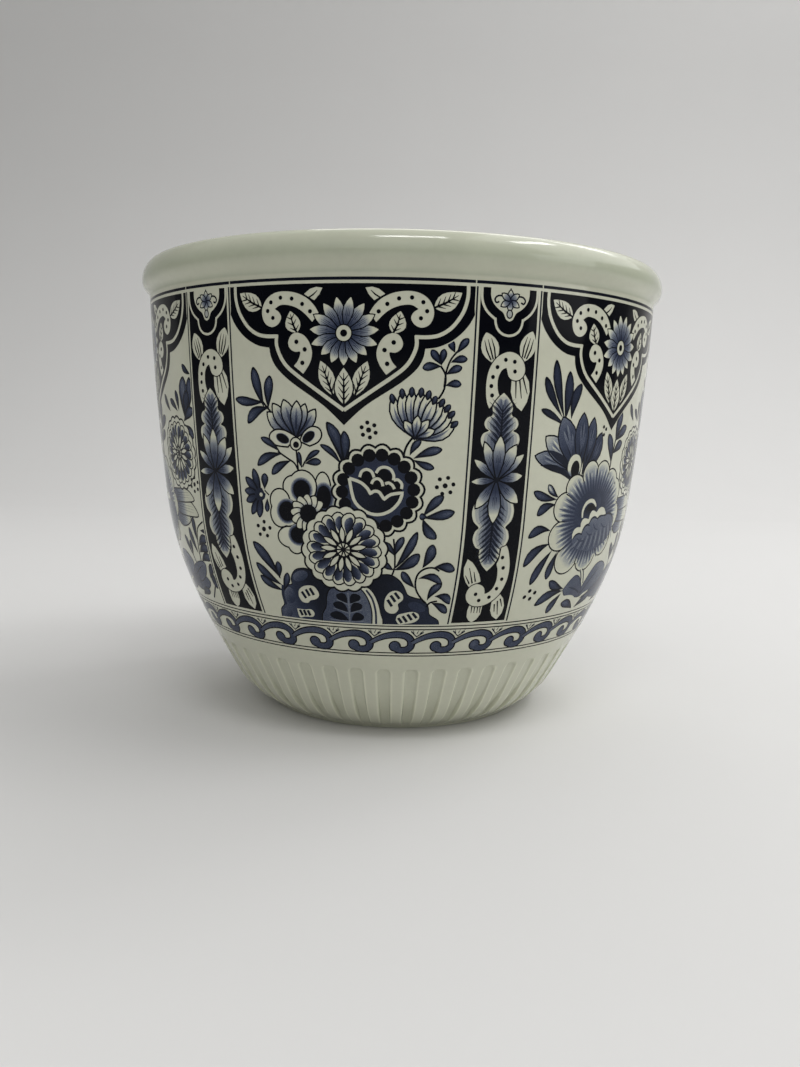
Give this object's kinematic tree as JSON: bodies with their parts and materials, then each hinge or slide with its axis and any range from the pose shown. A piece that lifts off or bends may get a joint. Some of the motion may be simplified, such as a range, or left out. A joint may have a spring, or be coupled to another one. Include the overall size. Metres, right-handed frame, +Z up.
{
  "type": "flower pot",
  "caption": "Round glazed earthenware flower pot with a rolled rim, a fluted base and a foot ring, printed in blue with lambrequins, flower panels, pilasters and a wave border.",
  "frame": {"origin": "centre of the foot ring, on the surface that the pot stands on", "axes": "+Z up along the pot's axis; -Y towards the viewer, through the middle of the first flower panel; +X to the viewer's right"},
  "size_m": [0.2198, 0.2198, 0.1845],
  "materials": {
    "fired_clay": "bare fired clay, matt and fine grained, seen only on the foot ring",
    "clear_glaze": "glossy warm grey-white lead-type glaze with faint pooling, specks and pinholes",
    "dark_blue_print": "near-black navy printed ground under gloss, with white reserves",
    "blue_flower_print": "navy and stippled mid-blue line print on white under gloss"
  },
  "bodies": {
    "root": {"clay_body": "fired_clay", "glaze_outside": "clear_glaze", "glaze_inside": "clear_glaze", "glaze_underside": "clear_glaze", "lambrequin_print_1": "dark_blue_print", "panel_print_1": "blue_flower_print", "pilaster_print_1": "dark_blue_print", "wave_border_print_1": "blue_flower_print", "lambrequin_print_2": "dark_blue_print", "panel_print_2": "blue_flower_print", "pilaster_print_2": "dark_blue_print", "wave_border_print_2": "blue_flower_print", "lambrequin_print_3": "dark_blue_print", "panel_print_3": "blue_flower_print", "pilaster_print_3": "dark_blue_print", "wave_border_print_3": "blue_flower_print", "lambrequin_print_4": "dark_blue_print", "panel_print_4": "blue_flower_print", "pilaster_print_4": "dark_blue_print", "wave_border_print_4": "blue_flower_print", "lambrequin_print_5": "dark_blue_print", "panel_print_5": "blue_flower_print", "pilaster_print_5": "dark_blue_print", "wave_border_print_5": "blue_flower_print", "lambrequin_print_6": "dark_blue_print", "panel_print_6": "blue_flower_print", "pilaster_print_6": "dark_blue_print", "wave_border_print_6": "blue_flower_print"}
  },
  "joints": []
}
